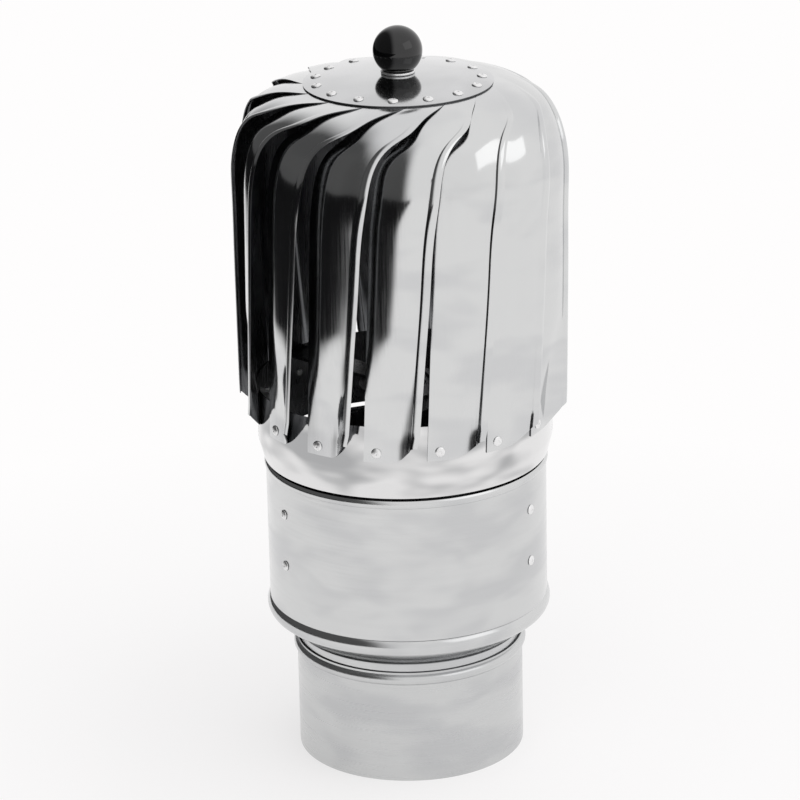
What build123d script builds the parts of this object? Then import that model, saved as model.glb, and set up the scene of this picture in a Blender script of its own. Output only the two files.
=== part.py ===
from build123d import *
import os
from math import radians, degrees, sin, cos, sqrt, atan2, hypot

# Roof turbine ventilator. Millimetres, +Z up along the axle.
# The origin is the centre of the bottom rim of the flue socket.
# Azimuths are in degrees from the front (-Y), positive towards the right (+X).

# Sheet metal
sheet = 0.6
disc_sheet = 0.8
strap_thickness = 2.0
strap_width = 20.0
seat_gap = 0.1

# Flue socket
flue_bore_radius = 75.2
socket_height = 78.0
socket_bead_bottom = 69.2
socket_bead_height = 7.4
socket_bead_depth = 2.3

# Reducer
neck_clearance = 0.2
neck_end_gap = 0.5
neck_height = 6.5
cone_height = 13.2
collar_bead_height = 10.4
collar_bead_depth = 2.2
spigot_height = 18.0

# Base cylinder
cylinder_radius = 92.9
cylinder_height = 97.5
rim_bead_height = 5.4
rim_bead_depth = 1.1

# Rotor ring
running_gap = 2.4
ring_radius = 97.3
skirt_height = 12.5
skirt_radius = 94.1
ring_band_height = 37.3

# Rotor height and domed disc
rotor_height = 250.9
disc_radius = 61.4
disc_rise = 5.6

# Blades
blade_count = 15
blade_lap = 23.7
blade_overhang = 11.5
blade_twist = 0.0585
blade_arc = 22.7
blade_flat_share = 0.42
blade_curl = 1.6
blade_columns = 6
blade_places = (0, 0.18, 0.36, 0.53, 0.62, 0.69, 0.75, 0.8, 0.85, 0.9, 0.95, 1)
blade_corner_height = 13.0
leading_azimuth = 4.0
shoulder_rise = 154.0
tongue_length = 14.5
tongue_arc = 23.3
tongue_azimuth = 52.3
# Over the shoulder: share of the way in to the disc's rim, azimuth past the shoulder's start, share of the
# way up to the disc's rim
leading_shoulder = ((0.0169, 1.3, 0.31), (0.154, 4.6, 0.68), (0.2489, 8.5, 0.78), (0.3755, 14.8, 0.855),
                    (0.6076, 21.7, 0.93))
trailing_shoulder = ((0.0111, 1.6, 0.33), (0.1361, 5.8, 0.65), (0.3167, 11.4, 0.80), (0.525, 17.2, 0.89),
                     (0.7611, 26.5, 0.945))

# Rivets
rivet_radius = 2.0
rivet_head_radius = 4.0
rivet_head_height = 1.6
rivet_tail_radius = 2.7
rivet_tail_height = 1.2
rivet_clearance = 0.1
rivet_hole_depth = 12.0
ring_rivet_azimuth = -11.2
ring_rivet_rise = 6.2
disc_rivet_azimuth = 44.1
disc_rivet_margin = 7.6
bracket_rivet_azimuth = 60.0
bracket_rivet_spacing = 36.0
bracket_rivet_height = 144.0

# Knob
knob_radius = 16.0
knob_foot_radius = 9.7
knob_washer_radius = 11.1
knob_washer_thickness = 1.8
stud_radius = 4.0
stud_depth_in_housing = 8.5
stud_depth_in_knob = 20.0
stud_clearance = 0.1

# Axle and its bracket
axle_radius = 6.0
axle_journal_radius = 5.0
axle_fit = 0.02
bracket_margin = 8.0
bracket_hub_radius = 32.0
bracket_hub_thickness = 3.0
arm_inner_radius = 15.0
hub_rivet_offset = 2.0
nut_across_flats = 19.0
nut_height = 10.0
washer_radius = 12.0
washer_thickness = 2.5
axle_tail = 4.0
axle_end = 1.0
collar_radius = 9.0
collar_height = 10.0

# Ball bearings
ball_radius = 2.38
ball_clearance = 0.05
bearing_width = 8.0
upper_outer_radius = 13.0
lower_outer_radius = 14.0
upper_ball_count = 7
lower_ball_count = 8
race_shoulder = 1.4
cage_width = 6.0
cage_thickness = 1.2
race_fit = 0.02

# Bearing housing and spider hub
housing_wall = 4.0
housing_flange_radius = 24.0
housing_flange_thickness = 3.0
housing_head = 10.0
housing_relief_depth = 3.6
housing_relief_radius = 9.5
housing_lip = 4.0
circlip_thickness = 1.2
circlip_groove_depth = 0.8
circlip_width = 2.6
circlip_clearance = 0.1
circlip_opening = 5.0
groove_overlap = 1.0
hub_flange_radius = 30.0
hub_flange_thickness = 3.0
hub_lip = 1.5
hub_lip_radius = 12.6
spider_tab_height = 24.0
spider_rim_gap = 2.0
spider_inset = 4.0
lower_bearing_depth = 6.0

# Heights worked out from the values above
neck_outer = flue_bore_radius - neck_clearance
socket_bead_top = socket_bead_bottom + socket_bead_height
# The neck ends in the socket's bead, so that the flue pipe has the whole bore under it
neck_bottom = socket_bead_bottom + neck_end_gap
cone_bottom = socket_height + neck_height
cone_top = cone_bottom + cone_height
cylinder_bottom = cone_top + collar_bead_height
cylinder_top = cylinder_bottom + cylinder_height
ring_bottom = cylinder_top + running_gap
ring_crease = ring_bottom + skirt_height
ring_top = ring_crease + ring_band_height
rim_height = ring_bottom + rotor_height
disc_apex = rim_height + disc_rise
disc_sphere = (disc_radius**2 + disc_rise**2) / (2 * disc_rise)
disc_centre = disc_apex - disc_sphere
pitch = 360 / blade_count
blade_bottom = ring_top - blade_lap
blade_edge_radius = ring_radius + blade_overhang
disc_rivet_radius = disc_radius - disc_rivet_margin
spigot_outer = cylinder_radius - sheet - seat_gap
tongue_depth = disc_sheet + 2 * seat_gap + sheet


def at(radius, azimuth, height):
    """The point at a radius, azimuth and height."""
    angle = radians(azimuth)
    return Vector(radius * sin(angle), -radius * cos(angle), height)


def turned(outline):
    """A solid turned about the axle from an outline of (radius, height) points."""
    return revolve(Plane.XZ * make_face(Polyline(*outline, close=True)), Axis.Z)


def spun_sheet(profile, thickness=sheet):
    """A spun sheet whose outside follows the profile."""
    section = make_face(offset(profile, thickness, kind=Kind.INTERSECTION, side=Side.LEFT).edges())
    return revolve(Plane.XZ * section, Axis.Z)


def under_disc(radius, depth=disc_sheet + seat_gap):
    """The height of the surface that lies a depth under the disc's top face."""
    return disc_centre + sqrt((disc_sphere - depth) ** 2 - radius**2)


def around(shape, azimuth):
    """The shape turned about the axle."""
    return Rot(0, 0, azimuth) * shape


# Fasteners

def rivet(grip):
    """A dome-head rivet with its head's seat at z = 0 and its shank along -Z."""
    sphere_radius = (rivet_head_radius**2 + rivet_head_height**2) / (2 * rivet_head_height)
    dome = Pos(0, 0, rivet_head_height - sphere_radius) * Sphere(sphere_radius)
    dome &= Pos(0, 0, rivet_head_height) * Box(
        4 * rivet_head_radius, 4 * rivet_head_radius, 2 * rivet_head_height)
    shank = Cylinder(rivet_radius, grip, align=(Align.CENTER, Align.CENTER, Align.MAX))
    tail = Pos(0, 0, -grip) * Cylinder(
        rivet_tail_radius, rivet_tail_height, align=(Align.CENTER, Align.CENTER, Align.MAX))
    return dome + shank + tail


def radial_plane(radius, azimuth, height):
    """A plane at a point on a cylinder, facing outward."""
    return Plane(origin=at(radius, azimuth, height), x_dir=(0, 0, 1), z_dir=at(1, azimuth, 0))


def disc_plane(azimuth):
    """A plane on the disc's top face at a blade's rivet, facing outward."""
    height = disc_centre + sqrt(disc_sphere**2 - disc_rivet_radius**2)
    point = at(disc_rivet_radius, azimuth, height)
    outward = point - Vector(0, 0, disc_centre)
    return Plane(origin=point, x_dir=at(1, azimuth + 90, 0), z_dir=outward)


def rivet_hole(plane):
    """A clearance hole for a rivet, along the plane's normal both ways."""
    return plane * Cylinder(rivet_radius + rivet_clearance, rivet_hole_depth)


def circlip(inner, outer, height):
    """A retaining ring, open at one side."""
    ring = Pos(0, 0, height) * (
        Cylinder(outer, circlip_thickness, align=(Align.CENTER, Align.CENTER, Align.MIN))
        - Cylinder(inner, circlip_thickness, align=(Align.CENTER, Align.CENTER, Align.MIN)))
    return ring - Pos(0, -outer, height) * Box(circlip_opening, 2 * outer, 4 * circlip_thickness)


# Fixed base

def flue_socket():
    outer = flue_bore_radius + sheet
    bead_middle = (socket_bead_bottom + socket_bead_top) / 2
    profile = Polyline((outer, 0), (outer, socket_bead_bottom))
    profile += ThreePointArc((outer, socket_bead_bottom), (outer + socket_bead_depth, bead_middle),
                             (outer, socket_bead_top))
    profile += Line((outer, socket_bead_top), (outer, socket_height))
    return spun_sheet(profile)


def reducer():
    shoulder = cylinder_radius
    bead_middle = cone_top + collar_bead_height / 2
    profile = Line((neck_outer, neck_bottom), (neck_outer, cone_bottom))
    profile += Line((neck_outer, cone_bottom), (shoulder, cone_top))
    profile += ThreePointArc((shoulder, cone_top), (shoulder + collar_bead_depth, bead_middle),
                             (spigot_outer, cylinder_bottom))
    profile += Line((spigot_outer, cylinder_bottom), (spigot_outer, cylinder_bottom + spigot_height))
    return spun_sheet(profile)


def bracket_rivet_planes():
    return [radial_plane(cylinder_radius + seat_gap, bracket_rivet_azimuth + 120 * arm,
                         bracket_rivet_height + row * bracket_rivet_spacing)
            for arm in range(3) for row in range(2)]


def base_cylinder():
    bead_bottom = cylinder_top - rim_bead_height
    bead_middle = cylinder_top - rim_bead_height / 2
    profile = Line((cylinder_radius, cylinder_bottom), (cylinder_radius, bead_bottom))
    profile += ThreePointArc((cylinder_radius, bead_bottom),
                             (cylinder_radius + rim_bead_depth, bead_middle),
                             (cylinder_radius, cylinder_top))
    cylinder = spun_sheet(profile)
    for plane in bracket_rivet_planes():
        cylinder -= rivet_hole(plane)
    return cylinder


def strap_arm(inner, wall_radius, foot_height, tab_height, tab_up):
    """A strap from the hub to the wall, its end bent into a tab rolled to the wall."""
    turn = 1 if tab_up else -1
    reach = wall_radius - seat_gap
    base = foot_height if tab_up else foot_height + strap_thickness
    run = Polyline((inner, base), (reach, base), (reach, base + turn * tab_height),
                   (reach - strap_thickness, base + turn * tab_height),
                   (reach - strap_thickness, base + turn * strap_thickness),
                   (inner, base + turn * strap_thickness), close=True)
    blank = extrude(Plane.YZ * make_face(run), strap_width / 2, both=True)
    keep = Cylinder(reach, 4 * tab_height + 4 * foot_height)
    return Rot(0, 0, 180) * (blank & keep)


bracket_foot = bracket_rivet_height - bracket_margin
bracket_tab = bracket_rivet_spacing + 2 * bracket_margin
bracket_hub_bottom = bracket_foot - bracket_hub_thickness
hub_rivet_circle = (arm_inner_radius + bracket_hub_radius) / 2 + hub_rivet_offset


def hub_rivet_plane(azimuth, top):
    return Plane(origin=at(hub_rivet_circle, azimuth, top), x_dir=at(1, azimuth, 0), z_dir=(0, 0, 1))


def bracket_arm(azimuth):
    wall = cylinder_radius - sheet
    arm = around(strap_arm(arm_inner_radius, wall, bracket_foot, bracket_tab, True), azimuth)
    for plane in bracket_rivet_planes():
        arm -= rivet_hole(plane)
    return arm - rivet_hole(hub_rivet_plane(azimuth, bracket_foot))


def bracket_hub():
    hub = Pos(0, 0, bracket_hub_bottom) * Cylinder(
        bracket_hub_radius, bracket_hub_thickness, align=(Align.CENTER, Align.CENTER, Align.MIN))
    hub -= Cylinder(axle_radius + seat_gap, 4 * cylinder_top)
    for azimuth in arm_azimuths:
        hub -= rivet_hole(hub_rivet_plane(azimuth, bracket_foot))
    return hub


arm_azimuths = [bracket_rivet_azimuth + 120 * arm for arm in range(3)]

# Bearing seats along the axle
housing_top = under_disc(0)
race_top = housing_top - housing_head - housing_relief_depth
upper_bearing_bottom = race_top - bearing_width
axle_top = race_top + circlip_thickness + axle_end
spider_foot = ring_top - strap_thickness - spider_rim_gap
hub_flange_bottom = spider_foot - hub_flange_thickness
lower_bearing_top = spider_foot - lower_bearing_depth
lower_bearing_bottom = lower_bearing_top - bearing_width
hub_bottom = lower_bearing_bottom - hub_lip
collar_bottom = lower_bearing_bottom - collar_height
axle_bottom = bracket_hub_bottom - washer_thickness - nut_height - axle_tail


def axle():
    return turned([(0, axle_bottom), (axle_radius, axle_bottom), (axle_radius, upper_bearing_bottom),
                   (axle_journal_radius, upper_bearing_bottom), (axle_journal_radius, axle_top),
                   (0, axle_top)])


def axle_nuts():
    across = nut_across_flats / sqrt(3)
    nut = extrude(RegularPolygon(across, 6), nut_height) - Cylinder(axle_radius + axle_fit, 4 * nut_height)
    return [Pos(0, 0, bracket_foot + washer_thickness) * nut,
            Pos(0, 0, bracket_hub_bottom - washer_thickness - nut_height) * nut]


def axle_washers():
    washer = Cylinder(washer_radius, washer_thickness, align=(Align.CENTER, Align.CENTER, Align.MIN))
    washer -= Cylinder(axle_radius + seat_gap, 4 * washer_thickness)
    return [Pos(0, 0, bracket_foot) * washer, Pos(0, 0, bracket_hub_bottom - washer_thickness) * washer]


def axle_collar():
    return turned([(axle_radius + axle_fit, collar_bottom), (collar_radius, collar_bottom),
                   (collar_radius, lower_bearing_bottom), (axle_radius + axle_fit, lower_bearing_bottom)])


# Ball bearings

class Bearing:
    """A deep-groove ball bearing between a shaft and a bore."""

    def __init__(self, bore, outer, bottom, balls):
        self.bore = bore
        self.outer = outer
        self.middle = bottom + bearing_width / 2
        self.bottom = bottom
        self.balls = balls
        self.ball_circle = (bore + outer) / 2
        self.groove = Pos(0, 0, self.middle) * Torus(self.ball_circle, ball_radius + ball_clearance)

    def race(self, inner, outer):
        ring = turned([(inner, self.bottom), (outer, self.bottom), (outer, self.bottom + bearing_width),
                       (inner, self.bottom + bearing_width)])
        return ring - self.groove

    def inner_race(self):
        return self.race(self.bore + axle_fit, self.ball_circle - race_shoulder)

    def outer_race(self):
        return self.race(self.ball_circle + race_shoulder, self.outer - race_fit)

    def ball_set(self):
        return [Pos(*at(self.ball_circle, i * 360 / self.balls, self.middle)) * Sphere(ball_radius)
                for i in range(self.balls)]

    def cage(self):
        ring = Pos(0, 0, self.middle) * (Cylinder(self.ball_circle + cage_thickness / 2, cage_width)
                                         - Cylinder(self.ball_circle - cage_thickness / 2, cage_width))
        pocket = Cylinder(ball_radius + ball_clearance, 4 * cage_thickness)
        return ring - [radial_plane(self.ball_circle, i * 360 / self.balls, self.middle) * pocket
                       for i in range(self.balls)]


upper_bearing = Bearing(axle_journal_radius, upper_outer_radius, upper_bearing_bottom, upper_ball_count)
lower_bearing = Bearing(axle_radius, lower_outer_radius, lower_bearing_bottom, lower_ball_count)

# Rotor

circlip_height = upper_bearing_bottom - circlip_thickness - circlip_clearance


def bearing_housing():
    barrel = upper_outer_radius + housing_wall
    lip_bottom = circlip_height - housing_lip
    shelf = housing_top - housing_head
    dome = disc_sphere - disc_sheet - seat_gap
    flange_edge = under_disc(housing_flange_radius)
    outline = Polyline((stud_radius + stud_clearance, under_disc(stud_radius + stud_clearance)),
                       (stud_radius + stud_clearance, shelf), (housing_relief_radius, shelf),
                       (housing_relief_radius, race_top), (upper_outer_radius, race_top),
                       (upper_outer_radius, lip_bottom), (barrel, lip_bottom),
                       (barrel, flange_edge - housing_flange_thickness),
                       (housing_flange_radius, flange_edge - housing_flange_thickness),
                       (housing_flange_radius, flange_edge))
    middle = (housing_flange_radius + stud_radius) / 2
    outline += ThreePointArc((housing_flange_radius, flange_edge), (middle, under_disc(middle)),
                             (stud_radius + stud_clearance, under_disc(stud_radius + stud_clearance)))
    housing = revolve(Plane.XZ * make_face(outline), Axis.Z)
    groove = upper_outer_radius + circlip_groove_depth
    return housing - turned([(upper_outer_radius - groove_overlap, circlip_height - circlip_clearance),
                             (groove, circlip_height - circlip_clearance),
                             (groove, circlip_height + circlip_thickness + circlip_clearance),
                             (upper_outer_radius - groove_overlap, circlip_height + circlip_thickness + circlip_clearance)])


def housing_circlip():
    outer = upper_outer_radius + circlip_groove_depth - circlip_clearance
    return circlip(outer - circlip_width, outer, circlip_height)


hub_circlip_height = lower_bearing_top + circlip_clearance


def spider_hub():
    barrel = lower_outer_radius + housing_wall
    hub = turned([(hub_lip_radius, hub_bottom), (barrel, hub_bottom), (barrel, hub_flange_bottom),
                  (hub_flange_radius, hub_flange_bottom), (hub_flange_radius, spider_foot),
                  (lower_outer_radius, spider_foot), (lower_outer_radius, lower_bearing_bottom),
                  (hub_lip_radius, lower_bearing_bottom)])
    groove = lower_outer_radius + circlip_groove_depth
    hub -= turned([(lower_outer_radius - groove_overlap, hub_circlip_height - circlip_clearance),
                   (groove, hub_circlip_height - circlip_clearance),
                   (groove, hub_circlip_height + circlip_thickness + circlip_clearance),
                   (lower_outer_radius - groove_overlap, hub_circlip_height + circlip_thickness + circlip_clearance)])
    for azimuth in spider_azimuths:
        hub -= rivet_hole(hub_rivet_plane(azimuth, spider_foot))
    return hub


def hub_circlip():
    outer = lower_outer_radius + circlip_groove_depth - circlip_clearance
    return circlip(outer - circlip_width, outer, hub_circlip_height)


def axle_circlip():
    return circlip(axle_journal_radius + axle_fit, axle_journal_radius + circlip_width, race_top)


spider_azimuths = [ring_rivet_azimuth + 120 * arm for arm in range(3)]
ring_rivet_height = blade_bottom + ring_rivet_rise


def spider_arm(azimuth):
    wall = ring_radius - sheet
    arm = around(strap_arm(lower_outer_radius + spider_inset, wall, spider_foot, spider_tab_height, False), azimuth)
    arm -= rivet_hole(ring_rivet_plane(azimuth))
    return arm - rivet_hole(hub_rivet_plane(azimuth, spider_foot))


def ring_rivet_plane(azimuth):
    return radial_plane(ring_radius + sheet + 2 * seat_gap, azimuth, ring_rivet_height)


def rotor_ring():
    profile = Line((skirt_radius, ring_bottom), (ring_radius, ring_crease))
    profile += Line((ring_radius, ring_crease), (ring_radius, ring_top))
    ring = spun_sheet(profile)
    for blade in range(blade_count):
        ring -= rivet_hole(ring_rivet_plane(ring_rivet_azimuth + blade * pitch))
    return ring


def top_disc():
    inner = stud_radius + stud_clearance
    top = disc_sphere
    bottom = disc_sphere - disc_sheet

    def height(sphere, radius):
        return disc_centre + sqrt(sphere**2 - radius**2)

    middle = disc_radius / 2
    outline = ThreePointArc((inner, height(top, inner)), (middle, height(top, middle)),
                            (disc_radius, height(top, disc_radius)))
    outline += Line((disc_radius, height(top, disc_radius)), (disc_radius, height(bottom, disc_radius)))
    outline += ThreePointArc((disc_radius, height(bottom, disc_radius)), (middle, height(bottom, middle)),
                             (inner, height(bottom, inner)))
    outline += Line((inner, height(bottom, inner)), (inner, height(top, inner)))
    disc = revolve(Plane.XZ * make_face(outline), Axis.Z)
    for blade in range(blade_count):
        disc -= rivet_hole(disc_plane(disc_rivet_azimuth + blade * pitch))
    return disc


def knob_washer():
    return turned([(stud_radius + stud_clearance, disc_apex), (knob_washer_radius, disc_apex),
                   (knob_washer_radius, disc_apex + knob_washer_thickness),
                   (stud_radius + stud_clearance, disc_apex + knob_washer_thickness)])


knob_foot = disc_apex + knob_washer_thickness
knob_centre = knob_foot + sqrt(knob_radius**2 - knob_foot_radius**2)


def ball_knob():
    ball = Pos(0, 0, knob_centre) * Sphere(knob_radius)
    ball &= Pos(0, 0, knob_foot) * Cylinder(
        2 * knob_radius, 3 * knob_radius, align=(Align.CENTER, Align.CENTER, Align.MIN))
    hole = Cylinder(stud_radius + stud_clearance, stud_depth_in_knob + stud_clearance,
                    align=(Align.CENTER, Align.CENTER, Align.MIN))
    return ball - Pos(0, 0, knob_foot) * hole


def knob_stud():
    bottom = housing_top - stud_depth_in_housing
    return Pos(0, 0, bottom) * Cylinder(stud_radius, knob_foot + stud_depth_in_knob - bottom,
                                        align=(Align.CENTER, Align.CENTER, Align.MIN))


# Blades

def blade_edges():
    """The trailing and the leading edge of the blade's inner face, from the foot to the disc's rim."""
    foot = ring_radius + seat_gap
    shoulder = blade_bottom + shoulder_rise
    rise = rim_height - shoulder
    tongue = under_disc(disc_radius, tongue_depth)
    twist = blade_twist * shoulder_rise
    start = leading_azimuth + twist
    straight = [(share, leading_azimuth + share * twist) for share in (0, 0.25, 0.5, 0.75, 1)]
    leading = [at(blade_edge_radius, azimuth, blade_bottom + share * shoulder_rise)
               for share, azimuth in straight]
    trailing = [at(foot, azimuth - blade_arc, blade_bottom + share * shoulder_rise)
                for share, azimuth in straight]
    for inward, azimuth, up in leading_shoulder:
        radius = blade_edge_radius + inward * (disc_radius - blade_edge_radius)
        leading.append(at(radius, start + azimuth, shoulder + up * rise))
    for inward, azimuth, up in trailing_shoulder:
        radius = foot + inward * (disc_radius - foot)
        trailing.append(at(radius, start - blade_arc + azimuth, shoulder + up * rise))
    leading.append(at(disc_radius, tongue_azimuth, tongue))
    trailing.append(at(disc_radius, tongue_azimuth - tongue_arc, tongue))
    return Spline(*trailing), Spline(*leading)


def between(trailing, leading, share):
    """A point of the section between two edge points: along the ring at first, then outward."""
    spread = max(0, (share - blade_flat_share) / (1 - blade_flat_share)) ** blade_curl
    azimuths = [degrees(atan2(point.X, -point.Y)) for point in (trailing, leading)]
    radii = [hypot(point.X, point.Y) for point in (trailing, leading)]
    return at(radii[0] + spread * (radii[1] - radii[0]), azimuths[0] + share * (azimuths[1] - azimuths[0]),
              trailing.Z + spread * (leading.Z - trailing.Z))


def blade_rows():
    """Rows of points on the blade's inner face, from the foot to the tongue's tip."""
    trailing, leading = blade_edges()
    shares = [column / blade_columns for column in range(blade_columns + 1)]
    rows = [[between(trailing @ place, leading @ place, share) for share in shares] for place in blade_places]
    tip = disc_radius - tongue_length
    corners = [at(tip, azimuth, under_disc(tip, tongue_depth))
               for azimuth in (tongue_azimuth - tongue_arc, tongue_azimuth)]
    rows.append([corners[0] + (corners[1] - corners[0]) * share for share in shares])
    return rows


def outer_row(rows, index):
    """A row moved outward by the sheet's thickness, square to the blade's face."""
    above = rows[min(index + 1, len(rows) - 1)]
    below = rows[max(index - 1, 0)]
    last = blade_columns
    normals = []
    for column in range(last + 1):
        across = rows[index][min(column + 1, last)] - rows[index][max(column - 1, 0)]
        normals.append(across.cross(above[column] - below[column]).normalized())
    if index == 0:
        normals = [Vector(normal.X, normal.Y, 0).normalized() for normal in normals]
    if index == len(rows) - 1:
        normals = [normals[last // 2]] * (last + 1)
    return [point + normal * sheet for point, normal in zip(rows[index], normals)]


def corner_cut():
    """The diagonal cut of the blade's lower leading corner."""
    foot = ring_radius + sheet
    far = 2 * blade_edge_radius - foot
    run = Polyline((foot, 0), (far, 0), (far, 2 * blade_corner_height), close=True)
    wedge = extrude(Plane.XZ * make_face(run), 3 * blade_corner_height, both=True)
    return Pos(0, 0, blade_bottom - seat_gap) * (Rot(0, 0, leading_azimuth - 90) * wedge)


def blade():
    """The first blade, on the front left; the others are turned copies."""
    rows = blade_rows()
    sections = []
    for index, inner in enumerate(rows):
        outer = outer_row(rows, index)
        outline = Spline(*inner) + Line(inner[-1], outer[-1]) + Spline(*outer[::-1]) + Line(outer[0], inner[0])
        sections.append(Wire(outline.edges()))
    solid = Solid.make_loft(sections, ruled=True)
    solid -= rivet_hole(ring_rivet_plane(ring_rivet_azimuth))
    solid -= rivet_hole(disc_plane(disc_rivet_azimuth))
    return solid - corner_cut()


# Rivet groups

def rivets(planes, grip):
    one = rivet(grip)
    return [plane * one for plane in planes]


def bracket_rivets():
    return rivets(bracket_rivet_planes(), sheet + strap_thickness + 3 * seat_gap)


def hub_rivets(azimuths, foot):
    planes = [hub_rivet_plane(azimuth, foot + strap_thickness) for azimuth in azimuths]
    return rivets(planes, strap_thickness + bracket_hub_thickness)


def ring_rivets():
    group = []
    for blade_index in range(blade_count):
        azimuth = ring_rivet_azimuth + blade_index * pitch
        on_spider = blade_index % (blade_count // 3) == 0
        grip = 2 * sheet + 3 * seat_gap + (strap_thickness + seat_gap if on_spider else 0)
        group += rivets([ring_rivet_plane(azimuth)], grip)
    return group


def disc_rivets():
    planes = [disc_plane(disc_rivet_azimuth + i * pitch) for i in range(blade_count)]
    return rivets(planes, tongue_depth + 2 * seat_gap)


def main():
    os.makedirs("parts", exist_ok=True)
    nodes = {
        "flue_socket": flue_socket(),
        "reducer": reducer(),
        "base_cylinder": base_cylinder(),
        "bracket_hub": bracket_hub(),
        "bracket_rivets": bracket_rivets(),
        "bracket_hub_rivets": hub_rivets(arm_azimuths, bracket_foot),
        "axle": axle(),
        "axle_nuts": axle_nuts(),
        "axle_washers": axle_washers(),
        "axle_collar": axle_collar(),
        "axle_circlip": axle_circlip(),
        "rotor_ring": rotor_ring(),
        "ring_rivets": ring_rivets(),
        "top_disc": top_disc(),
        "disc_rivets": disc_rivets(),
        "knob_washer": knob_washer(),
        "ball_knob": ball_knob(),
        "knob_stud": knob_stud(),
        "bearing_housing": bearing_housing(),
        "housing_circlip": housing_circlip(),
        "spider_hub": spider_hub(),
        "spider_rivets": hub_rivets(spider_azimuths, spider_foot),
        "hub_circlip": hub_circlip(),
    }
    for arm in range(3):
        nodes[f"bracket_arm_{arm + 1}"] = bracket_arm(arm_azimuths[arm])
        nodes[f"spider_arm_{arm + 1}"] = spider_arm(spider_azimuths[arm])
    for name, bearing in (("upper", upper_bearing), ("lower", lower_bearing)):
        nodes[f"{name}_inner_race"] = bearing.inner_race()
        nodes[f"{name}_outer_race"] = bearing.outer_race()
        nodes[f"{name}_cage"] = bearing.cage()
        nodes[f"{name}_balls"] = bearing.ball_set()
    first_blade = blade()
    for index in range(blade_count):
        nodes[f"blade_{index + 1:02d}"] = around(first_blade, index * pitch)
    for name, shape in nodes.items():
        solids = shape if isinstance(shape, list) else [shape]
        export_step(Compound(children=solids), f"parts/{name}.step")


main()
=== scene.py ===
import bpy
import numpy as np
from math import asin, cos, hypot, pi, radians, sin, sqrt
from mathutils import Matrix, Vector

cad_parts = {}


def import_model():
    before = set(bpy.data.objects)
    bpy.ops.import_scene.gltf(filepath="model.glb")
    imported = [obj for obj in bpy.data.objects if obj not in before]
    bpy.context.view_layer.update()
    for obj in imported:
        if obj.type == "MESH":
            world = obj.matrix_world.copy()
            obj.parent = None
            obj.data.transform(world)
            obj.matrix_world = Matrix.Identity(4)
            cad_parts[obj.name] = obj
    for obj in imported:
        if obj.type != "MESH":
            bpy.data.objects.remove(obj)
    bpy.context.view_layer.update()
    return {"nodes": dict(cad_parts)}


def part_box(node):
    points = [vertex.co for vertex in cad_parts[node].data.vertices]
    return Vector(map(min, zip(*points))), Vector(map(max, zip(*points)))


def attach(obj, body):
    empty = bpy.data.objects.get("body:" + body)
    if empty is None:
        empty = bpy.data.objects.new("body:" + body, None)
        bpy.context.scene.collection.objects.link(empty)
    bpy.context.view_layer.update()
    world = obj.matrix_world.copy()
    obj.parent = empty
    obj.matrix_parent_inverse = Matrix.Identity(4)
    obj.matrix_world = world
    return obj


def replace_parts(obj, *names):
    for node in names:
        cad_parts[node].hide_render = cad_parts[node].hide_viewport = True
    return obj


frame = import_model()

# Lengths below are written in millimetres times this, because Blender works in metres
mm = 0.001
sheet = 0.6 * mm
disc_sheet = 0.8 * mm
seat_gap = 0.1 * mm


# Heights and radii read from the frame

def low(node):
    """The height of a node's underside."""
    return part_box(node)[0].z


def high(node):
    """The height of a node's top."""
    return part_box(node)[1].z


def reach(node):
    """The largest radius of a turned node, measured across its box."""
    lowest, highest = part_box(node)
    return (highest.x - lowest.x) / 2


ring_bottom = low("rotor_ring")
ring_top = high("rotor_ring")
ring_radius = reach("rotor_ring")
cylinder_bottom = low("base_cylinder")
cylinder_top = high("base_cylinder")
socket_top = high("flue_socket")
disc_radius = reach("top_disc")
disc_apex_height = low("knob_washer")
knob_radius = reach("ball_knob")


def at(radius, azimuth, height):
    """The point at a radius, an azimuth in degrees from the front towards the right, and a height."""
    angle = radians(azimuth)
    return Vector((radius * sin(angle), -radius * cos(angle), height))


# Camera: it stands in front and a little above, as in the photograph

view_distance = 2515.5 * mm
view_elevation = radians(20.0)
view_roll = radians(1.235)
view_target = Vector((-3.2 * mm, 0, 241.2 * mm))
# In camera millimetres, for a sensor of that width
focal_length = 171.5
sensor_width = 36


def add_camera():
    """A camera that looks at the middle of the cowl from the front, rolled by the photograph's small tilt."""
    data = bpy.data.cameras.new("camera")
    data.lens = focal_length
    data.sensor_width = sensor_width
    data.clip_start = 0.1
    data.clip_end = 50
    camera = bpy.data.objects.new("camera", data)
    bpy.context.scene.collection.objects.link(camera)
    back = Vector((0, -cos(view_elevation), sin(view_elevation)))
    right = Vector((1, 0, 0))
    up = back.cross(right)
    turned = Matrix.Rotation(-view_roll, 3, back) @ Matrix((right, up, back)).transposed()
    camera.matrix_world = Matrix.Translation(view_target + back * view_distance) @ turned.to_4x4()
    bpy.context.scene.camera = camera


# Materials

def linear(code):
    """A linear colour from an sRGB hex value."""
    values = [int(code[i:i + 2], 16) / 255 for i in (0, 2, 4)]
    return [v / 12.92 if v <= 0.04045 else ((v + 0.055) / 1.055) ** 2.4 for v in values] + [1]


def add_node(tree, kind, inputs=None, **settings):
    """Adds a node; an input is a value or a (node, output name) pair."""
    made = tree.nodes.new(kind)
    for name, value in settings.items():
        setattr(made, name, value)
    for name, value in (inputs or {}).items():
        if isinstance(value, tuple) and isinstance(value[0], bpy.types.Node):
            tree.links.new(value[0].outputs[value[1]], made.inputs[name])
        else:
            made.inputs[name].default_value = value
    return made


def ramp(tree, value, span, levels=(0.0, 1.0), kind="SMOOTHSTEP"):
    """Maps a (node, output name) pair from one span to another, and holds it level outside the span."""
    return add_node(tree, "ShaderNodeMapRange", {
        "Value": value, "From Min": span[0], "From Max": span[1], "To Min": levels[0], "To Max": levels[1]},
        interpolation_type=kind)


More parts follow.
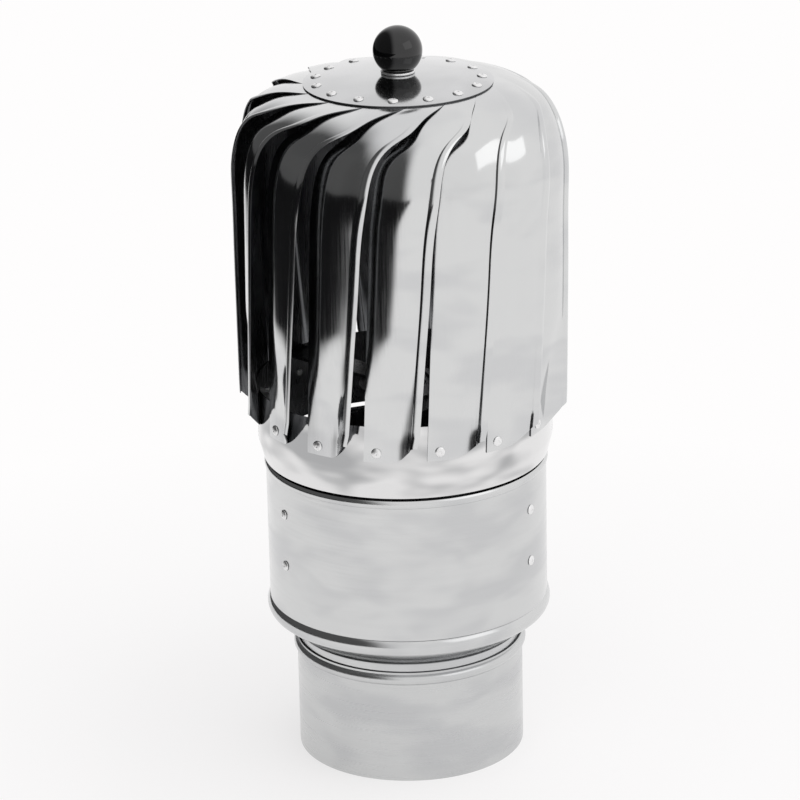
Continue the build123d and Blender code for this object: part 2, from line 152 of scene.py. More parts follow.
def blend(tree, factor, first, second):
    """A colour between two others; the factor 0 gives the first."""
    return add_node(tree, "ShaderNodeMix", {"Factor": factor, "A": first, "B": second}, data_type="RGBA")


def calculate(tree, operation, first, second):
    """A sum worked out by the shader, from values or (node, output name) pairs."""
    return add_node(tree, "ShaderNodeMath", {0: first, 1: second}, operation=operation)


def new_material(name):
    material = bpy.data.materials.new(name)
    material.use_nodes = True
    material.node_tree.nodes.clear()
    return material, material.node_tree


def finish_tree(tree, shader, kind="ShaderNodeOutputMaterial"):
    """Connects the shader to the surface of a material, or of the world."""
    output = add_node(tree, kind)
    tree.links.new(shader.outputs[0], output.inputs["Surface"])


# Roll lines are drawn wider than the real ones, so that they show, and 60 times as long
roll_line_width = 1.0 * mm
roll_line_stretch = 60
roll_line_depth = 0.02 * mm
# Dull patches are low and long, as hands and forming tools leave them round a tube
patch_length = 60 * mm
patch_height = 25 * mm
# The part of the noise over which the colour goes from bright to dull: most of the sheet stays bright
patch_span = (0.42, 0.66)
# The part of the noise, around its middle value of 0.5, over which a roughness goes from least to most
noise_span = (0.3, 0.7)


def rolled_steel(name, colour, dull_colour, roughness, ripple, ripple_size, grain, along_axes):
    """Cold-rolled stainless sheet: fine roll lines one way, slow ripples that bend its reflections, and dull
    patches where it was handled and formed."""
    material, tree = new_material(name)
    place = add_node(tree, "ShaderNodeTexCoord")
    across = 1 / roll_line_width
    along = across / roll_line_stretch
    scale = [along if axis in along_axes else across for axis in "XYZ"]
    lines_place = add_node(tree, "ShaderNodeMapping", {"Vector": (place, "Object"), "Scale": scale})
    lines = add_node(tree, "ShaderNodeTexNoise", {
        "Vector": (lines_place, "Vector"), "Scale": 1.0, "Detail": 2.0})
    waves = add_node(tree, "ShaderNodeTexNoise", {
        "Vector": (place, "Object"), "Scale": 1 / ripple_size, "Detail": 1.0, "Roughness": 0.4})
    smear = ramp(tree, (lines, "Fac"), noise_span, (roughness * 0.75, roughness * 1.35), "LINEAR")
    slow = add_node(tree, "ShaderNodeBump", {"Height": (waves, "Fac"), "Strength": 1.0, "Distance": ripple})
    fine = add_node(tree, "ShaderNodeBump", {
        "Height": (lines, "Fac"), "Strength": grain, "Distance": roll_line_depth, "Normal": (slow, "Normal")})
    patch_place = add_node(tree, "ShaderNodeMapping", {
        "Vector": (place, "Object"), "Scale": (1 / patch_length, 1 / patch_length, 1 / patch_height)})
    patches = add_node(tree, "ShaderNodeTexNoise", {
        "Vector": (patch_place, "Vector"), "Scale": 1.0, "Detail": 2.0, "Distortion": 0.2})
    spread = ramp(tree, (patches, "Fac"), patch_span)
    tone = blend(tree, (spread, "Result"), linear(colour), linear(dull_colour))
    shader = add_node(tree, "ShaderNodeBsdfPrincipled", {
        "Base Color": (tone, "Result"), "Metallic": 1.0, "Roughness": (smear, "Result"),
        "Normal": (fine, "Normal")})
    finish_tree(tree, shader)
    return material


def turned_steel(name, colour, roughness):
    """Turned or pressed steel hardware: an even satin with faint mottling."""
    material, tree = new_material(name)
    place = add_node(tree, "ShaderNodeTexCoord")
    mottle_size = 1.5 * mm
    mottle = add_node(tree, "ShaderNodeTexNoise", {
        "Vector": (place, "Object"), "Scale": 1 / mottle_size, "Detail": 3.0})
    smear = ramp(tree, (mottle, "Fac"), noise_span, (roughness * 0.8, roughness * 1.3), "LINEAR")
    shader = add_node(tree, "ShaderNodeBsdfPrincipled", {
        "Base Color": linear(colour), "Metallic": 1.0, "Roughness": (smear, "Result")})
    finish_tree(tree, shader)
    return material


def phenolic(name, colour, roughness, index):
    """Moulded phenolic resin, polished: a deep gloss with slight orange peel."""
    material, tree = new_material(name)
    place = add_node(tree, "ShaderNodeTexCoord")
    peel_size = 2.5 * mm
    peel_depth = 0.05 * mm
    peel = add_node(tree, "ShaderNodeTexNoise", {
        "Vector": (place, "Object"), "Scale": 1 / peel_size, "Detail": 1.0})
    bump = add_node(tree, "ShaderNodeBump", {
        "Height": (peel, "Fac"), "Strength": 0.15, "Distance": peel_depth})
    shader = add_node(tree, "ShaderNodeBsdfPrincipled", {
        "Base Color": linear(colour), "Roughness": roughness, "IOR": index, "Normal": (bump, "Normal")})
    finish_tree(tree, shader)
    return material


# Near mirrors with roll lines up the blade: each carries a black and a white stripe of the studio
blade_steel = rolled_steel("bright_annealed_stainless_blades", "d6d7d7", "cdcecf", roughness=0.12,
                           ripple=0.12 * mm, ripple_size=45 * mm, grain=0.25, along_axes="Z")
# The brightest sheet, hammered wavy by forming: blotchy streaks under the blades
ring_steel = rolled_steel("bright_annealed_stainless_ring", "e4e4e4", "acadae", roughness=0.09,
                          ripple=1.0 * mm, ripple_size=34 * mm, grain=0.3, along_axes="XY")
# Satin mirror with lines round the tube: soft upright bands of light
casing_steel = rolled_steel("bright_annealed_stainless_casing", "d3d4d4", "c8c9ca", roughness=0.17,
                            ripple=0.25 * mm, ripple_size=60 * mm, grain=0.4, along_axes="XY")
# The dullest of the outer sheets, its brushing plain to see: an even grey with a fine level grain
pipe_steel = rolled_steel("brushed_stainless_pipe", "cfd0d0", "c5c6c7", roughness=0.22,
                          ripple=0.15 * mm, ripple_size=70 * mm, grain=0.5, along_axes="XY")
# Flat and clear enough to mirror the black ball
disc_steel = rolled_steel("bright_annealed_stainless_disc", "cfd0d1", "c3c4c5", roughness=0.10,
                          ripple=0.05 * mm, ripple_size=60 * mm, grain=0.3, along_axes="X")
# The unpolished inner face, its mill finish painted dark grey as shade, so that the slots between the blades
# read as deep
mill_steel_painted_shade = rolled_steel("mill_finish_stainless_inside_painted_shade", "6e6f71", "606163", roughness=0.3,
                          ripple=0.05 * mm, ripple_size=50 * mm, grain=0.5, along_axes="Z")
# The cut edge of the sheet, painted dark as the shadow under each edge: a thin dull line that draws each
# outline
cut_edge_painted_shade_steel = turned_steel("sheared_stainless_edge_painted_shade", "6c6d6f", roughness=0.35)
# Pale and soft, so that each head is a bright dot
rivet_steel = turned_steel("stainless_rivets", "f0f0f0", roughness=0.38)
# Axle, nuts and bearings: a grey shine in the dark inside
hardware_steel = turned_steel("turned_stainless_hardware", "bfc0c2", roughness=0.25)
# Glossy black, with only the studio's reflections to show its roundness
knob_black = phenolic("polished_black_phenolic", "0c0c0d", roughness=0.06, index=1.6)


# Modelling helpers

# Edges sharper than this are beveled
bevel_angle = radians(30)


def clear_selection():
    bpy.ops.object.select_all(action="DESELECT")


def start(name):
    """Names the primitive just added and enters edit mode with all of it selected."""
    piece = bpy.context.object
    piece.name = piece.data.name = name
    bpy.ops.object.mode_set(mode="EDIT")
    bpy.ops.mesh.select_all(action="SELECT")
    return piece


def apply_modifier(piece, kind, **settings):
    modifier = piece.modifiers.new(kind.lower(), kind)
    for name, value in settings.items():
        setattr(modifier, name, value)
    bpy.context.view_layer.objects.active = piece
    bpy.ops.object.modifier_apply(modifier=modifier.name)


def smooth(piece, angle=30):
    """Shades smooth, but keeps edges sharper than the angle, in degrees."""
    clear_selection()
    piece.select_set(True)
    bpy.context.view_layer.objects.active = piece
    bpy.ops.object.shade_smooth_by_angle(angle=radians(angle))


def select_level_faces(piece, underside_too=False):
    """Leaves only the faces selected that look straight up, or down too, in edit mode."""
    bpy.ops.mesh.select_mode(type="FACE")
    bpy.ops.object.mode_set(mode="OBJECT")
    for face in piece.data.polygons:
        face.select = face.normal.z > 0.9 or underside_too and face.normal.z < -0.9
    bpy.ops.object.mode_set(mode="EDIT")


def thicken(piece, outside, thickness, offset):
    """Gives a surface its sheet thickness: finished steel outside, mill finish painted dark as shade inside,
    a cut edge painted dark as shade.
    """
    # The inner face and the cut edge take dark steel that paints shade into them
    for material in (outside, mill_steel_painted_shade, cut_edge_painted_shade_steel):
        piece.data.materials.append(material)
    apply_modifier(piece, "SOLIDIFY", thickness=thickness, offset=offset, use_even_offset=True,
                   material_offset=1, material_offset_rim=2)


def arc(start_point, end_point, bulge, steps):
    """Points of a circular arc between two profile points; the bulge is its rise towards the outside."""
    (r0, z0), (r1, z1) = start_point, end_point
    chord = hypot(r1 - r0, z1 - z0)
    radius = (chord ** 2 / 4 + bulge ** 2) / (2 * bulge)
    half = asin(min(1, chord / 2 / radius))
    if bulge > chord / 2:
        half = pi - half
    along = Vector((r1 - r0, z1 - z0)) / chord
    outward = Vector((along.y, -along.x))
    centre = Vector(((r0 + r1) / 2, (z0 + z1) / 2)) + outward * (bulge - radius)
    turns = [half * (2 * i / steps - 1) for i in range(steps + 1)]
    return [tuple(centre + outward * radius * cos(a) + along * radius * sin(a)) for a in turns]


def turned_shell(name, profile, thickness, material, segments=180):
    """A spun sheet: a circle drawn up ring by ring along the outside profile, then given its thickness."""
    clear_selection()
    radius, height = profile[0]
    bpy.ops.mesh.primitive_circle_add(vertices=segments, radius=radius)
    piece = start(name)
    bpy.ops.transform.translate(value=(0, 0, height))
    for next_radius, next_height in profile[1:]:
        bpy.ops.mesh.extrude_edges_move(TRANSFORM_OT_translate={"value": (0, 0, next_height - height)})
        ratio = next_radius / radius
        bpy.ops.transform.resize(value=(ratio, ratio, 1))
        radius, height = next_radius, next_height
    bpy.ops.mesh.select_all(action="SELECT")
    bpy.ops.mesh.normals_make_consistent(inside=False)
    bpy.ops.object.mode_set(mode="OBJECT")
    thicken(piece, material, thickness, offset=-1)
    smooth(piece)
    return piece


# Fixed base

socket_bore = 75.2 * mm
socket_outer = socket_bore + sheet
bead_bottom, bead_top, bead_depth = 69.2 * mm, 76.6 * mm, 2.3 * mm
neck_outer = socket_bore - 0.2 * mm
neck_bottom = low("reducer")
cone_bottom = socket_top + 6.5 * mm
cone_top = cone_bottom + 13.2 * mm
# The neck sweeps out into the cone by a hollow curve that starts this much lower
sweep_start, sweep_width, sweep_rise, sweep_hollow = 1.5 * mm, 3.0 * mm, 2.2 * mm, 0.35 * mm
# The cone's last straight stretch ends this far inside and below the collar bead
collar_inset, collar_drop = 1.5 * mm, 1.2 * mm
cylinder_radius = 92.9 * mm
collar_bead_depth = 2.2 * mm
spigot_outer = cylinder_radius - sheet - seat_gap
rim_bead_height, rim_bead_depth = 5.4 * mm, 1.1 * mm
# A plain wall's rings stand this far from its beads, to keep the shading level
wall_margin = 30 * mm


def flue_socket():
    """The lower pipe, with a rolled bead near its top."""
    profile = [(socket_outer, 0), (socket_outer, 0.25 * bead_bottom), (socket_outer, 0.75 * bead_bottom)]
    profile += arc((socket_outer, bead_bottom), (socket_outer, bead_top), bead_depth, 10)
    profile.append((socket_outer, socket_top))
    piece = turned_shell("flue_pipe", profile, sheet, pipe_steel)
    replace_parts(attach(piece, "base"), "flue_socket")


def reducer():
    """A neck in the pipe, a swaged cone, a large bead, and a spigot up inside the cylinder."""
    sweep_foot = (neck_outer, cone_bottom - sweep_start)
    sweep_end = (neck_outer + sweep_width, cone_bottom + sweep_rise)
    profile = [(neck_outer, neck_bottom), sweep_foot]
    profile += arc(sweep_foot, sweep_end, -sweep_hollow, 4)[1:]
    profile += [(cylinder_radius - collar_inset, cone_top - collar_drop)]
    profile += arc((cylinder_radius, cone_top), (spigot_outer, cylinder_bottom), collar_bead_depth, 12)
    profile.append((spigot_outer, high("reducer")))
    piece = turned_shell("swaged_reducer", profile, sheet, casing_steel)
    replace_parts(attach(piece, "base"), "reducer")


def base_cylinder():
    """The fixed cylinder, with a rolled bead at its top edge."""
    bead_foot = cylinder_top - rim_bead_height
    profile = [(cylinder_radius, cylinder_bottom), (cylinder_radius, cylinder_bottom + wall_margin),
               (cylinder_radius, bead_foot - wall_margin)]
    profile += arc((cylinder_radius, bead_foot), (cylinder_radius, cylinder_top), rim_bead_depth, 8)
    piece = turned_shell("fixed_cylinder", profile, sheet, casing_steel)
    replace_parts(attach(piece, "base"), "base_cylinder")


# Rotor's ring

skirt_radius = 94.1 * mm
skirt_height = 12.5 * mm
# The crease over the skirt is rounded off between these distances under and over it
crease_below, crease_above, crease_inset = 1.2 * mm, 0.3 * mm, 0.3 * mm


def rotor_ring():
    """The rotor's lower ring, drawn in over the running gap by a conical skirt."""
    crease = ring_bottom + skirt_height
    profile = [(skirt_radius, ring_bottom), (ring_radius - crease_inset, crease - crease_below),
               (ring_radius, crease + crease_above), (ring_radius, ring_top)]
    piece = turned_shell("skirted_ring", profile, sheet, ring_steel)
    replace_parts(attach(piece, "rotor"), "rotor_ring")


# Domed disc: a shallow part of a sphere, from the height of its rim and of its middle

disc_rim_height = 458.9 * mm
disc_bore = 4.1 * mm
disc_rings = 24
disc_rise = disc_apex_height - disc_rim_height
disc_sphere = (disc_radius ** 2 + disc_rise ** 2) / (2 * disc_rise)
disc_centre = disc_apex_height - disc_sphere


def disc_height(radius, depth=0.0):
    """The height of the surface that lies a depth under the disc's top face."""
    return disc_centre + sqrt((disc_sphere - depth) ** 2 - radius ** 2)


def top_disc():
    """The disc over the blades' tongues, open in the middle for the knob's stud."""
    radii = [disc_radius + (disc_bore - disc_radius) * i / disc_rings for i in range(disc_rings + 1)]
    profile = [(radius, disc_height(radius)) for radius in radii]
    piece = turned_shell("domed_disc", profile, disc_sheet, disc_steel)
    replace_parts(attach(piece, "rotor"), "top_disc")


# Blades

blade_count = 15
pitch = 360 / blade_count
blade_bottom = ring_top - 23.7 * mm
blade_edge_radius = 108.3 * mm
# Azimuths are in degrees, for the first blade, and twists in degrees for a length
leading_azimuth = 3.6
leading_twist = 0.0464 / mm
trailing_azimuth = -16.2
trailing_twist = 0.029 / mm
shoulder_rise = 154.0 * mm
# The leading corner of the foot is cut off by this height, over this many rows
corner_height = 13.0 * mm
corner_rows = 7
tongue_azimuth = 52.3
tongue_arc = 23.3
tongue_length = 14.5 * mm
tongue_depth = disc_sheet + 2 * seat_gap + sheet
# Over the shoulder, each edge as (radius in millimetres, azimuth, share of the shoulder's rise)
leading_shoulder = ((108.0, 12.6, 0.31), (101.5, 16.9, 0.68), (97.0, 21.2, 0.78), (91.0, 27.8, 0.855),
                    (80.0, 34.7, 0.93))
trailing_shoulder = ((97.0, -10.0, 0.33), (92.5, -5.4, 0.65), (86.0, 1.7, 0.80), (78.5, 7.5, 0.89),
                     (70.0, 16.8, 0.945))
# The joggle before the flange: where it begins and ends, as shares of the width, and its share of the rise
joggle_start, joggle_end = 0.865, 0.90
joggle_step = 0.14
# The flange is rolled outward by this share of the rise
flange_roll = 0.045
# Joggle and roll die away near the disc: where they start to and over how much, as shares of the length
joggle_fade, joggle_fade_length = 0.82, 0.12
roll_fade, roll_fade_length = 0.86, 0.10
# The rise across the blade, as (share of the width, share of the rise): slanted above the ring, flush on it
slanted = ((0, 0), (0.15, 0.22), (0.3, 0.48), (0.45, 0.71), (0.6, 0.85), (0.75, 0.92), (0.865, 0.96), (1, 1))
flush = ((0, 0), (0.3, 0), (0.55, 0), (0.7, 0.2), (0.8, 0.55), (0.865, 0.85), (0.93, 0.97), (1, 1))
# The flush form turns into the slanted one from this height above the foot, over this length
slant_start, slant_length = 14 * mm, 75 * mm
# The grid of a blade
body_columns, joggle_columns, flange_columns = 22, 6, 4
blade_rows, tongue_rows = 90, 5


def spline(places, values, wanted):
    """A natural cubic spline through the values, read at the wanted places."""
    places, values = np.array(places, float), np.array(values, float)
    gaps = np.diff(places)
    count = len(places)
    matrix = np.eye(count)
    right = np.zeros((count, values.shape[1]))
    for i in range(1, count - 1):
        matrix[i, i - 1:i + 2] = gaps[i - 1], 2 * (gaps[i - 1] + gaps[i]), gaps[i]
        right[i] = 6 * ((values[i + 1] - values[i]) / gaps[i] - (values[i] - values[i - 1]) / gaps[i - 1])
    bend = np.linalg.solve(matrix, right)
    found = []
    for place in wanted:
        i = int(min(max(np.searchsorted(places, place) - 1, 0), count - 2))
        a, b = (places[i + 1] - place) / gaps[i], (place - places[i]) / gaps[i]
        curve = ((a ** 3 - a) * bend[i] + (b ** 3 - b) * bend[i + 1]) * gaps[i] ** 2 / 6
        found.append(a * values[i] + b * values[i + 1] + curve)
    return found


def blade_edges():
    """(radius, azimuth, height) along the trailing and the leading edge of the blade's inner face."""
    foot = ring_radius + seat_gap
    shoulder = blade_bottom + shoulder_rise
    rise = disc_rim_height - shoulder
    leading, trailing = [], []
    for share in (0, 0.25, 0.5, 0.75, 1):
        up = share * shoulder_rise
        leading.append((blade_edge_radius, leading_azimuth + leading_twist * up, blade_bottom + up))
        trailing.append((foot, trailing_azimuth + trailing_twist * up, blade_bottom + up))
    for edge, table in ((leading, leading_shoulder), (trailing, trailing_shoulder)):
        for radius, azimuth, share in table:
            edge.append((radius * mm, azimuth, shoulder + share * rise))
    tongue = disc_height(disc_radius, tongue_depth)
    leading.append((disc_radius, tongue_azimuth, tongue))
    trailing.append((disc_radius, tongue_azimuth - tongue_arc, tongue))
    return trailing, leading


def even_edge(points, count):
    """The edge read at evenly spaced lengths."""
    steps = [(at(*b) - at(*a)).length for a, b in zip(points, points[1:])]
    places = np.concatenate([[0], np.cumsum(steps)])
    return spline(places, points, np.linspace(0, places[-1], count))


def ease(value):
    """A smooth step from 0 to 1."""
    value = min(1.0, max(0.0, value))
    return value * value * (3 - 2 * value)


def rises(shares, curve):
    """The share of the rise at each share of the width."""
    places, values = zip(*curve)
    return [max(0.0, float(v[0])) for v in spline(places, [[v] for v in values], shares)]


def blade_columns():
    """The grid's columns as shares of the width, closer together on the joggle."""
    body = [i / body_columns * joggle_start for i in range(body_columns)]
    width = joggle_end - joggle_start
    joggle = [joggle_start + width * i / joggle_columns for i in range(joggle_columns + 1)]
    flange = [joggle_end + (1 - joggle_end) * i / flange_columns for i in range(1, flange_columns + 1)]
    return body + joggle + flange


def blade_points(shares):
    """Points of the blade's inner face, row by row from the foot to the tongue's tip."""
    high_form, low_form = rises(shares, slanted), rises(shares, flush)
    trailing, leading = (even_edge(edge, blade_rows) for edge in blade_edges())
    points = []
    for row, (tail, lead) in enumerate(zip(trailing, leading)):
        place = row / (blade_rows - 1)
        slant = ease((lead[2] - blade_bottom - slant_start) / slant_length)
        step = joggle_step * (1 - ease((place - joggle_fade) / joggle_fade_length))
        roll = flange_roll * (1 - ease((place - roll_fade) / roll_fade_length))
        foot_lift = max(0.0, 1 - row / corner_rows)
        for share, above, below in zip(shares, high_form, low_form):
            form = below + slant * (above - below)
            past_joggle = ease((share - joggle_start) / (joggle_end - joggle_start))
            across_flange = max(0.0, (share - joggle_end) / (1 - joggle_end))
            rise = form * (1 - step) + step * past_joggle + roll * sin(pi * across_flange)
            radius = tail[0] + rise * (lead[0] - tail[0])
            azimuth = tail[1] + share * (lead[1] - tail[1])
            height = tail[2] + rise * (lead[2] - tail[2])
            points.append(at(radius, azimuth, height + corner_height * rise * foot_lift))
    for row in range(1, tongue_rows + 1):
        radius = disc_radius - tongue_length * row / tongue_rows
        height = disc_height(radius, tongue_depth)
        points += [at(radius, tongue_azimuth - tongue_arc * (1 - share), height) for share in shares]
    return points


def blade_mesh():
    """A grid bent to the first blade's inner face, then given its thickness outward."""
    shares = blade_columns()
    points = blade_points(shares)
    clear_selection()
    bpy.ops.mesh.primitive_grid_add(x_subdivisions=len(shares) - 1,
                                    y_subdivisions=blade_rows + tongue_rows - 1, size=1)
    piece = bpy.context.object
    for vertex, point in zip(piece.data.vertices, points):
        vertex.co = point
    start("blade")
    bpy.ops.object.mode_set(mode="OBJECT")
    thicken(piece, blade_steel, sheet, offset=1)
    smooth(piece, 60)
    return piece


def blades():
    """The blades, each turned on by one pitch from the last."""
    first = blade_mesh()
    for index in range(blade_count):
        piece = first
        if index:
            piece = bpy.data.objects.new("blade", first.data.copy())
            bpy.context.scene.collection.objects.link(piece)
            piece.data.transform(Matrix.Rotation(radians(pitch * index), 4, "Z"))
        piece.name = piece.data.name = f"formed_blade_{index + 1:02d}"
        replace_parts(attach(piece, "rotor"), f"blade_{index + 1:02d}")


# Rivets and knob

head_radius, head_height, shank_radius = 3.4 * mm, 1.4 * mm, 1.6 * mm
# The head's rim stands up this much before the dome, and is as much narrower underneath
head_rim = 0.2 * mm
head_steps = 7
dimple_radius, dimple_floor, dimple_depth = 0.9 * mm, 0.6 * mm, 0.25 * mm
tail_radius, tail_height = 2.3 * mm, 1.2 * mm
# Lengths from under the head to the tail
ring_grip, disc_grip, bracket_grip = 3.6 * mm, tongue_depth + 2 * seat_gap, 2.9 * mm
# Azimuths in degrees, of the first rivet of each group
ring_rivet_azimuth, disc_rivet_azimuth, bracket_azimuth = -11.2, 44.1, 60
ring_rivet_rise = 6.2 * mm
disc_rivet_radius = 53.8 * mm
bracket_arms, bracket_pitch = 3, 120
bracket_rivet_heights = (144 * mm, 180 * mm)


def rivet_mesh(grip):
    """A blind rivet: a domed head with the small dimple of its drawn pin, a shank and a flared tail."""
    clear_selection()
    bpy.ops.mesh.primitive_cylinder_add(vertices=32, radius=tail_radius, depth=tail_height)
    piece = start("rivet")
    bpy.ops.transform.translate(value=(0, 0, -grip - tail_height / 2))
    select_level_faces(piece)
    bpy.ops.mesh.inset(thickness=tail_radius - shank_radius)
    bpy.ops.mesh.extrude_region_move(TRANSFORM_OT_translate={"value": (0, 0, grip)})
    path = [(head_radius - head_rim, 0.0), (head_radius, head_rim)]
    path += [(head_radius * cos(a), head_rim + (head_height - head_rim) * sin(a))
             for a in (radians(90 * i / head_steps) for i in range(1, head_steps))]
    path += [(dimple_radius, head_height), (dimple_floor, head_height - dimple_depth)]
    radius, height = shank_radius, 0.0
    for next_radius, next_height in path:
        bpy.ops.mesh.extrude_region_move(TRANSFORM_OT_translate={"value": (0, 0, next_height - height)})
        bpy.ops.transform.resize(value=(next_radius / radius, next_radius / radius, 1))
        radius, height = next_radius, next_height
    bpy.ops.mesh.select_all(action="SELECT")
    bpy.ops.mesh.normals_make_consistent(inside=False)
    bpy.ops.object.mode_set(mode="OBJECT")
    piece.data.materials.append(rivet_steel)
    smooth(piece, 40)
    return piece


def rivet_group(name, node, body, grip, places):
    """One object of rivets at the given frames (origin, outward direction)."""
    first = rivet_mesh(grip)
    copies = []
    for origin, outward in places:
        turn = outward.to_track_quat("Z", "Y").to_matrix().to_4x4()
        piece = bpy.data.objects.new(name, first.data.copy())
        piece.data.transform(Matrix.Translation(origin) @ turn)
        bpy.context.scene.collection.objects.link(piece)
        copies.append(piece)
    bpy.data.objects.remove(first)
    clear_selection()
    for piece in copies:
        piece.select_set(True)
    bpy.context.view_layer.objects.active = copies[0]
    bpy.ops.object.join()
    group = bpy.context.object
    group.name = group.data.name = name
    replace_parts(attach(group, body), node)


def rivets():
    """Three groups: on the ring, on the disc, and in pairs on the fixed cylinder."""
    ring_seat = ring_radius + sheet + 2 * seat_gap
    ring_places, disc_places = [], []
    for i in range(blade_count):
        azimuth = ring_rivet_azimuth + pitch * i
        ring_places.append((at(ring_seat, azimuth, blade_bottom + ring_rivet_rise), at(1, azimuth, 0)))
        origin = at(disc_rivet_radius, disc_rivet_azimuth + pitch * i, disc_height(disc_rivet_radius))
        disc_places.append((origin, (origin - Vector((0, 0, disc_centre))).normalized()))
    bracket_places = []
    for arm in range(bracket_arms):
        azimuth = bracket_azimuth + bracket_pitch * arm
        for height in bracket_rivet_heights:
            bracket_places.append((at(cylinder_radius + seat_gap, azimuth, height), at(1, azimuth, 0)))
    rivet_group("ring_blind_rivets", "ring_rivets", "rotor", ring_grip, ring_places)
    rivet_group("disc_blind_rivets", "disc_rivets", "rotor", disc_grip, disc_places)
    rivet_group("bracket_blind_rivets", "bracket_rivets", "base", bracket_grip, bracket_places)


knob_foot_radius = 9.7 * mm
knob_edge_width = 0.4 * mm
washer_bore = 4.1 * mm
washer_edge_width = 0.7 * mm


def ball_knob():
    """A ball turned flat at its foot, where it stands on the washer."""
    foot = high("knob_washer")
    centre = foot + sqrt(knob_radius ** 2 - knob_foot_radius ** 2)
    clear_selection()
    bpy.ops.mesh.primitive_uv_sphere_add(segments=96, ring_count=64, radius=knob_radius)
    piece = start("black_ball")
    bpy.ops.transform.translate(value=(0, 0, centre))
    bpy.ops.mesh.bisect(plane_co=(0, 0, foot), plane_no=(0, 0, 1), clear_inner=True, use_fill=True)
    bpy.ops.object.mode_set(mode="OBJECT")
    piece.data.materials.append(knob_black)
    apply_modifier(piece, "BEVEL", width=knob_edge_width, segments=3, limit_method="ANGLE",
                   angle_limit=bevel_angle)
    smooth(piece)
    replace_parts(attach(piece, "rotor"), "ball_knob")


def knob_washer():
    """The bright ring under the ball, its edges rolled over."""
    bottom, top = low("knob_washer"), high("knob_washer")
    outer = reach("knob_washer")
    clear_selection()
    bpy.ops.mesh.primitive_cylinder_add(vertices=96, radius=outer, depth=top - bottom)
    piece = start("bright_washer")
    bpy.ops.transform.translate(value=(0, 0, (top + bottom) / 2))
    select_level_faces(piece, underside_too=True)
    bpy.ops.mesh.inset(thickness=outer - washer_bore)
    bpy.ops.mesh.bridge_edge_loops()
    bpy.ops.object.mode_set(mode="OBJECT")
    piece.data.materials.append(rivet_steel)
    apply_modifier(piece, "BEVEL", width=washer_edge_width, segments=4, limit_method="ANGLE",
                   angle_limit=bevel_angle)
    smooth(piece)
    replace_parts(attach(piece, "rotor"), "knob_washer")


# Inner pieces keep their CAD shape

def dress_inner_nodes():
    """Plain sheet painted dark grey as shade for the arms and hubs, turned steel for all the rest."""
    for name, piece in frame["nodes"].items():
        plain_sheet = "_arm_" in name or name in ("bracket_hub", "spider_hub")
        piece.data.materials.clear()
        # The arms and hubs take the dark mill steel, which paints the shade inside the cowl
        piece.data.materials.append(mill_steel_painted_shade if plain_sheet else hardware_steel)


# Floor, light and background

backdrop_white = "fefdfd"
# Distances in metres. The floor's shadow is mixed with this much white at the object, and is gone farther out
shadow_span, shadow_whites = (0.2, 0.6), (0.7, 1.0)
# The floor's far left is black cloth, and its right a little grey, for what the steel mirrors
floor_left_span, floor_left_colour = (-0.58, -0.92), "1a1a1b"
floor_right_span, floor_right_most, floor_right_colour = (0.25, 0.75), 0.3, "8c8c8d"
floor_colour = "f4f3f3"
floor_size = 12
# The room's dark left side and slightly darker front, over these parts of the direction looked in
room_left_span, room_left_levels = (-0.08, -0.54), (0.95, 0.05)
room_front_span, room_front_levels = (-0.35, -0.8), (1.0, 0.86)
room_colour = "fbfbfc"
lamp_aim = Vector((0, 0, 0.3))


def white_share(tree, openness):
    """How much of the white backdrop a ray sees: all of it for the camera, and where the studio is open also
    for rays off metal and through glass."""
    rays = add_node(tree, "ShaderNodeLightPath")
    mirrored = calculate(tree, "MAXIMUM", (rays, "Is Glossy Ray"), (rays, "Is Transmission Ray"))
    lit = calculate(tree, "MULTIPLY", (mirrored, "Value"), openness)
    return calculate(tree, "MAXIMUM", (rays, "Is Camera Ray"), (lit, "Value"))


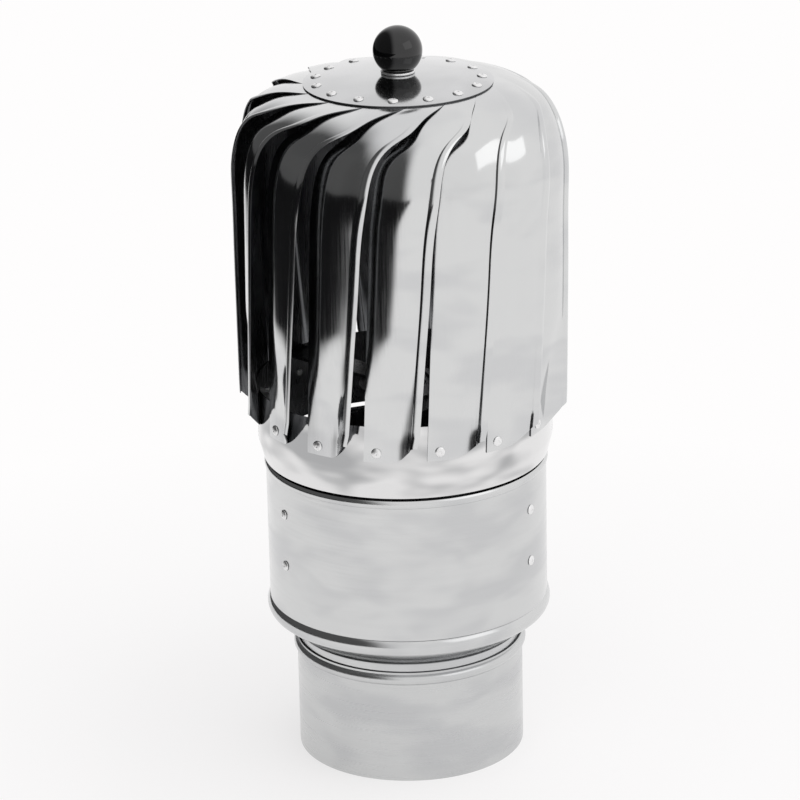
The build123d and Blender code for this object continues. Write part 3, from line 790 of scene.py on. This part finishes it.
def floor():
    """A pale sweep that the camera sees as white, apart from the soft shadow round the object."""
    material, tree = new_material("pale_floor")
    place = add_node(tree, "ShaderNodeTexCoord")
    distance = add_node(tree, "ShaderNodeVectorMath", {0: (place, "Object")}, operation="LENGTH")
    fade = ramp(tree, (distance, "Value"), shadow_span, shadow_whites, "LINEAR")
    parts = add_node(tree, "ShaderNodeSeparateXYZ", {"Vector": (place, "Object")})
    left = ramp(tree, (parts, "X"), floor_left_span)
    colour = blend(tree, (left, "Result"), linear(floor_colour), linear(floor_left_colour))
    right = ramp(tree, (parts, "X"), floor_right_span, (0.0, floor_right_most))
    shaded = blend(tree, (right, "Result"), (colour, "Result"), linear(floor_right_colour))
    matte = add_node(tree, "ShaderNodeBsdfDiffuse", {"Color": (shaded, "Result")})
    white = add_node(tree, "ShaderNodeEmission", {"Color": linear(backdrop_white), "Strength": 1.0})
    openness = calculate(tree, "SUBTRACT", 1.0, (left, "Result"))
    seen = white_share(tree, (openness, "Value"))
    share = calculate(tree, "MULTIPLY", (seen, "Value"), (fade, "Result"))
    mix = add_node(tree, "ShaderNodeMixShader", {
        "Fac": (share, "Value"), 1: (matte, "BSDF"), 2: (white, "Emission")})
    finish_tree(tree, mix)
    clear_selection()
    bpy.ops.mesh.primitive_plane_add(size=floor_size)
    piece = bpy.context.object
    piece.name = "floor"
    piece.data.materials.append(material)


def world():
    """White to the camera; to the steel, a pale room with a dark left side and a slightly darker front."""
    scene_world = bpy.data.worlds.new("studio")
    bpy.context.scene.world = scene_world
    scene_world.use_nodes = True
    tree = scene_world.node_tree
    tree.nodes.clear()
    place = add_node(tree, "ShaderNodeTexCoord")
    parts = add_node(tree, "ShaderNodeSeparateXYZ", {"Vector": (place, "Generated")})
    left = ramp(tree, (parts, "X"), room_left_span, room_left_levels)
    front = ramp(tree, (parts, "Y"), room_front_span, room_front_levels)
    level = calculate(tree, "MULTIPLY", (left, "Result"), (front, "Result"))
    room = add_node(tree, "ShaderNodeBackground", {
        "Color": linear(room_colour), "Strength": (level, "Value")})
    white = add_node(tree, "ShaderNodeBackground", {"Color": linear(backdrop_white), "Strength": 1.0})
    share = white_share(tree, (level, "Value"))
    mix = add_node(tree, "ShaderNodeMixShader", {
        "Fac": (share, "Value"), 1: (room, "Background"), 2: (white, "Background")})
    finish_tree(tree, mix, "ShaderNodeOutputWorld")


def softbox(name, place, width, height, power, seen=True):
    """A rectangular lamp, in metres and watts, that faces the cowl; the steel mirrors it only if seen."""
    data = bpy.data.lights.new(name, "AREA")
    data.shape = "RECTANGLE"
    data.size, data.size_y = width, height
    data.energy = power
    lamp = bpy.data.objects.new(name, data)
    lamp.visible_glossy = seen
    lamp.location = place
    lamp.rotation_euler = (lamp_aim - Vector(place)).to_track_quat("-Z", "Y").to_euler()
    bpy.context.scene.collection.objects.link(lamp)


def lights():
    """A weak box on the right that the shoulder mirrors, and a stronger one overhead for the soft shadow."""
    softbox("softbox_right", (1.9, -1.3, 1.7), 1.9, 1.4, 3.4)
    softbox("softbox_top", (0.1, -0.3, 2.6), 1.8, 1.8, 24, seen=False)


add_camera()
dress_inner_nodes()
flue_socket()
reducer()
base_cylinder()
rotor_ring()
top_disc()
blades()
rivets()
knob_washer()
ball_knob()
floor()
world()
lights()
bpy.context.scene.view_settings.view_transform = "Standard"
